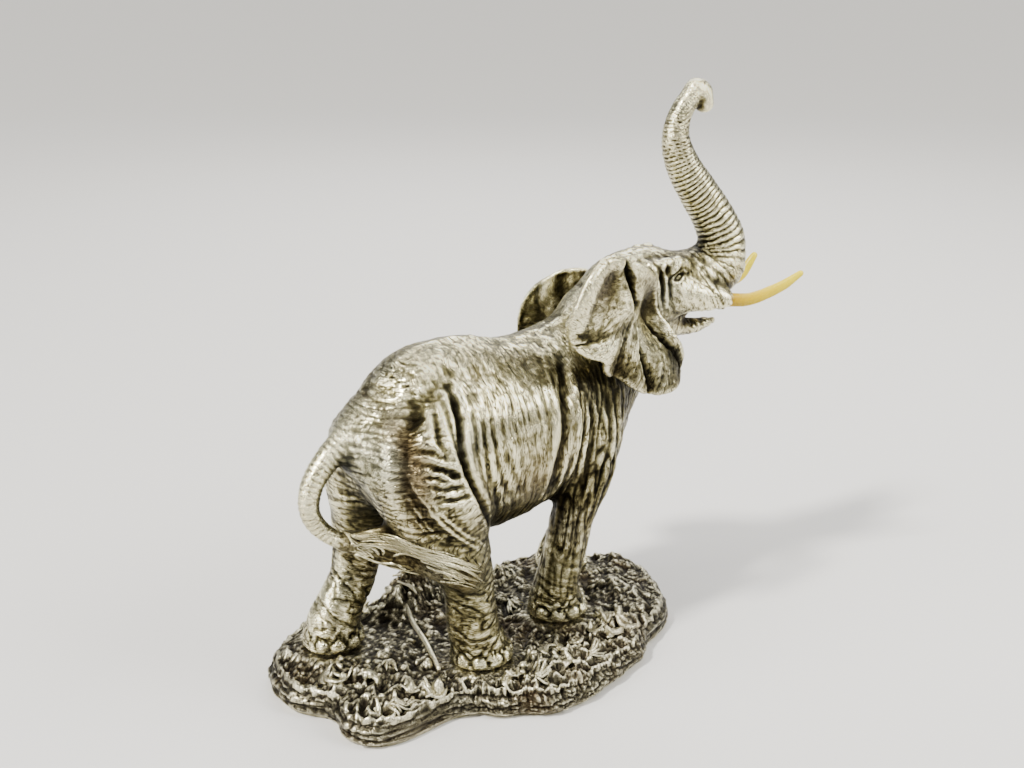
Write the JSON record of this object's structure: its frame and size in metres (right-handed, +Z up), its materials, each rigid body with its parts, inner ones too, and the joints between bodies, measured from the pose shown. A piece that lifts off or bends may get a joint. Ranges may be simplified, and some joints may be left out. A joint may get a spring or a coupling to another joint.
{
  "type": "elephant statue",
  "caption": "Striding elephant with raised trunk, spread ears, ivory coloured tusks and swinging tail, standing on a lobed base of modelled ground.",
  "frame": {"origin": "middle of the base's flat underside", "axes": "+Z up, the elephant walks and looks towards -Y, its left side is at +X"},
  "size_m": [0.1322, 0.2917, 0.2744],
  "materials": {
    "bronze": "antique bronze, dark in the folds, pale rubbed highlights, semi-gloss",
    "dark_bronze": "blackened bronze with pale rubbed highlights",
    "ivory": "ivory coloured, satin"
  },
  "bodies": {
    "root": {"elephant": "bronze", "base": "dark_bronze", "tusk_left": "ivory", "tusk_right": "ivory"}
  },
  "joints": []
}
